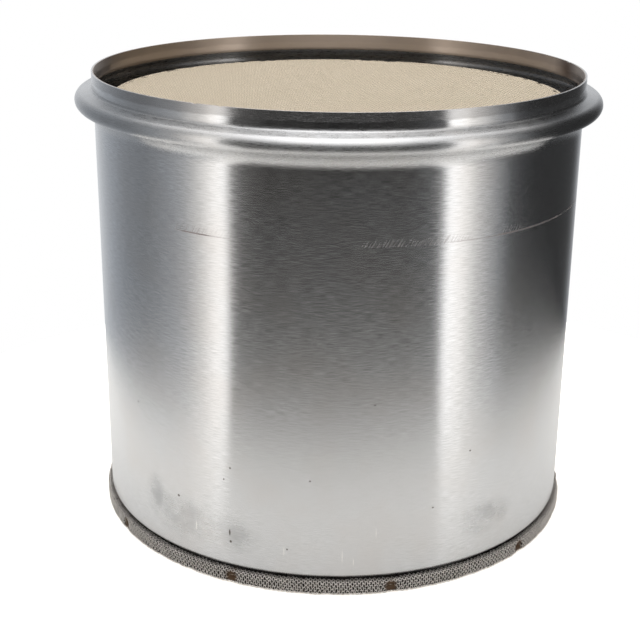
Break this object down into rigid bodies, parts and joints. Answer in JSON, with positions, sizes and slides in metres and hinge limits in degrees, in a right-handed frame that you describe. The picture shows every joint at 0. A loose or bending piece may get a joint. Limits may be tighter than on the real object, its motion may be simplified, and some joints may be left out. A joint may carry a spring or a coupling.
{
  "type": "diesel particulate filter",
  "caption": "Round stainless filter cartridge with an inlet neck, a rolled clamp bead, a plugged ceramic honeycomb core in a fibre mat, and a knitted wire gasket at the outlet.",
  "frame": {"origin": "centre of the outlet gasket's lower face, which is the face that the cartridge stands on", "axes": "+Z along the cartridge's axis from the outlet gasket up to the inlet rim; -Y faces the viewer"},
  "size_m": [0.3799, 0.38, 0.331],
  "materials": {
    "stainless_sheet": "fine brushed",
    "cordierite": "matt fired",
    "fibre_mat": "felted fibre",
    "knitted_wire": "knitted wire",
    "weld_nugget": "heat tinted"
  },
  "bodies": {
    "root": {"outer_can": "stainless_sheet", "filter_core": "cordierite", "support_mat": "fibre_mat", "mesh_gasket": "knitted_wire", "gasket_spot_welds": "weld_nugget"}
  },
  "joints": []
}
